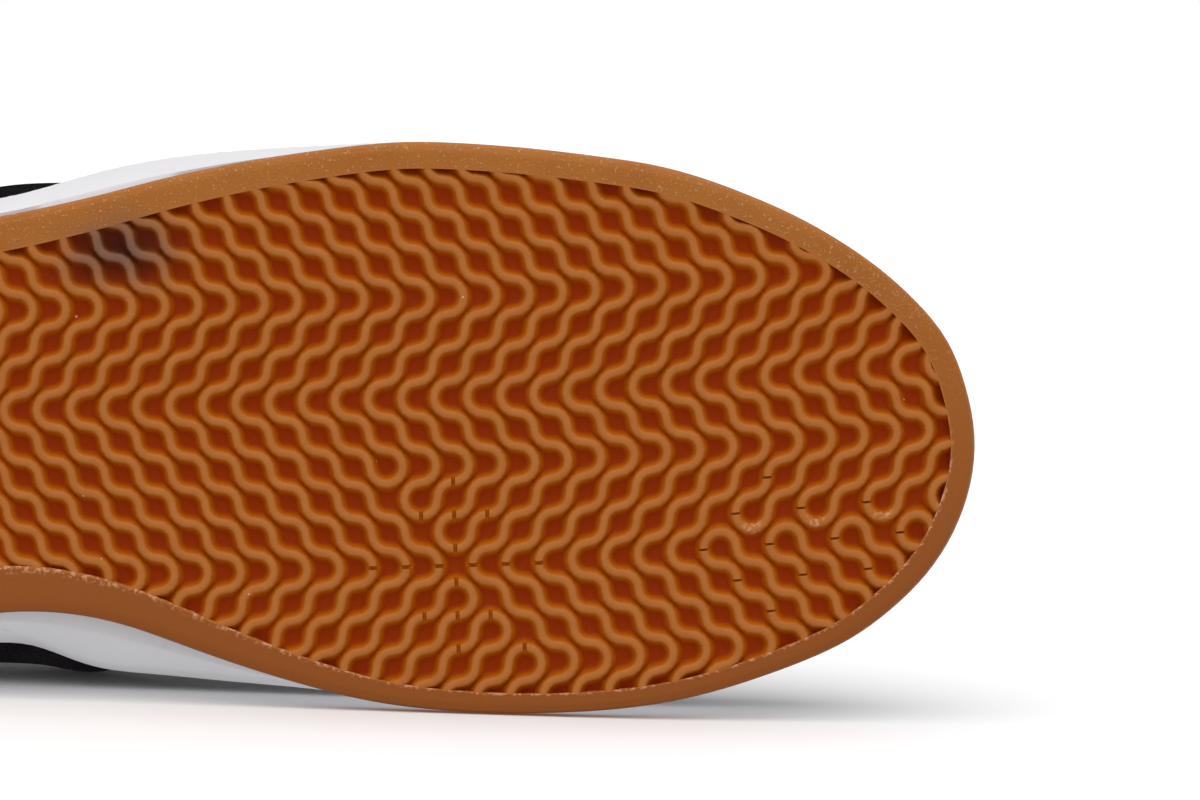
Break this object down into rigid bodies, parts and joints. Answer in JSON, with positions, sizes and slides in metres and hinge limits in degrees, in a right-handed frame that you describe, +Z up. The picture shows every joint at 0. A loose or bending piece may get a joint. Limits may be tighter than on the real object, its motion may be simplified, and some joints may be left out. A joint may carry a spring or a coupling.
{
  "type": "skateboarding shoe",
  "caption": "Right low-top skateboarding shoe lying on its inner side: gum outsole with a maze tread, white cup midsole, hollow black upper, tongue and laces.",
  "frame": {"origin": "centre of the bounding box at floor level, with the shoe lying on its inner side", "axes": "+X runs from heel to toe, -Y is the way the sole faces, +Z is up, towards the outer side of the foot"},
  "size_m": [0.3008, 0.1128, 0.1091],
  "materials": {
    "gum_rubber": "satin translucent gum",
    "white_rubber": "matt white",
    "black_suede": "napped suede",
    "black_leather": "smooth, satin",
    "black_lining": "knitted lining",
    "black_lace": "woven, matt"
  },
  "bodies": {
    "root": {"outsole": "gum_rubber", "midsole": "white_rubber", "upper": "black_suede", "eyestay": "black_leather", "heel_counter": "black_leather", "tongue": "black_lining", "insole": "black_lining", "lace_bar": "black_lace", "lace_cross_1": "black_lace", "lace_cross_2": "black_lace", "lace_cross_3": "black_lace", "lace_cross_4": "black_lace", "lace_cross_5": "black_lace"}
  },
  "joints": []
}
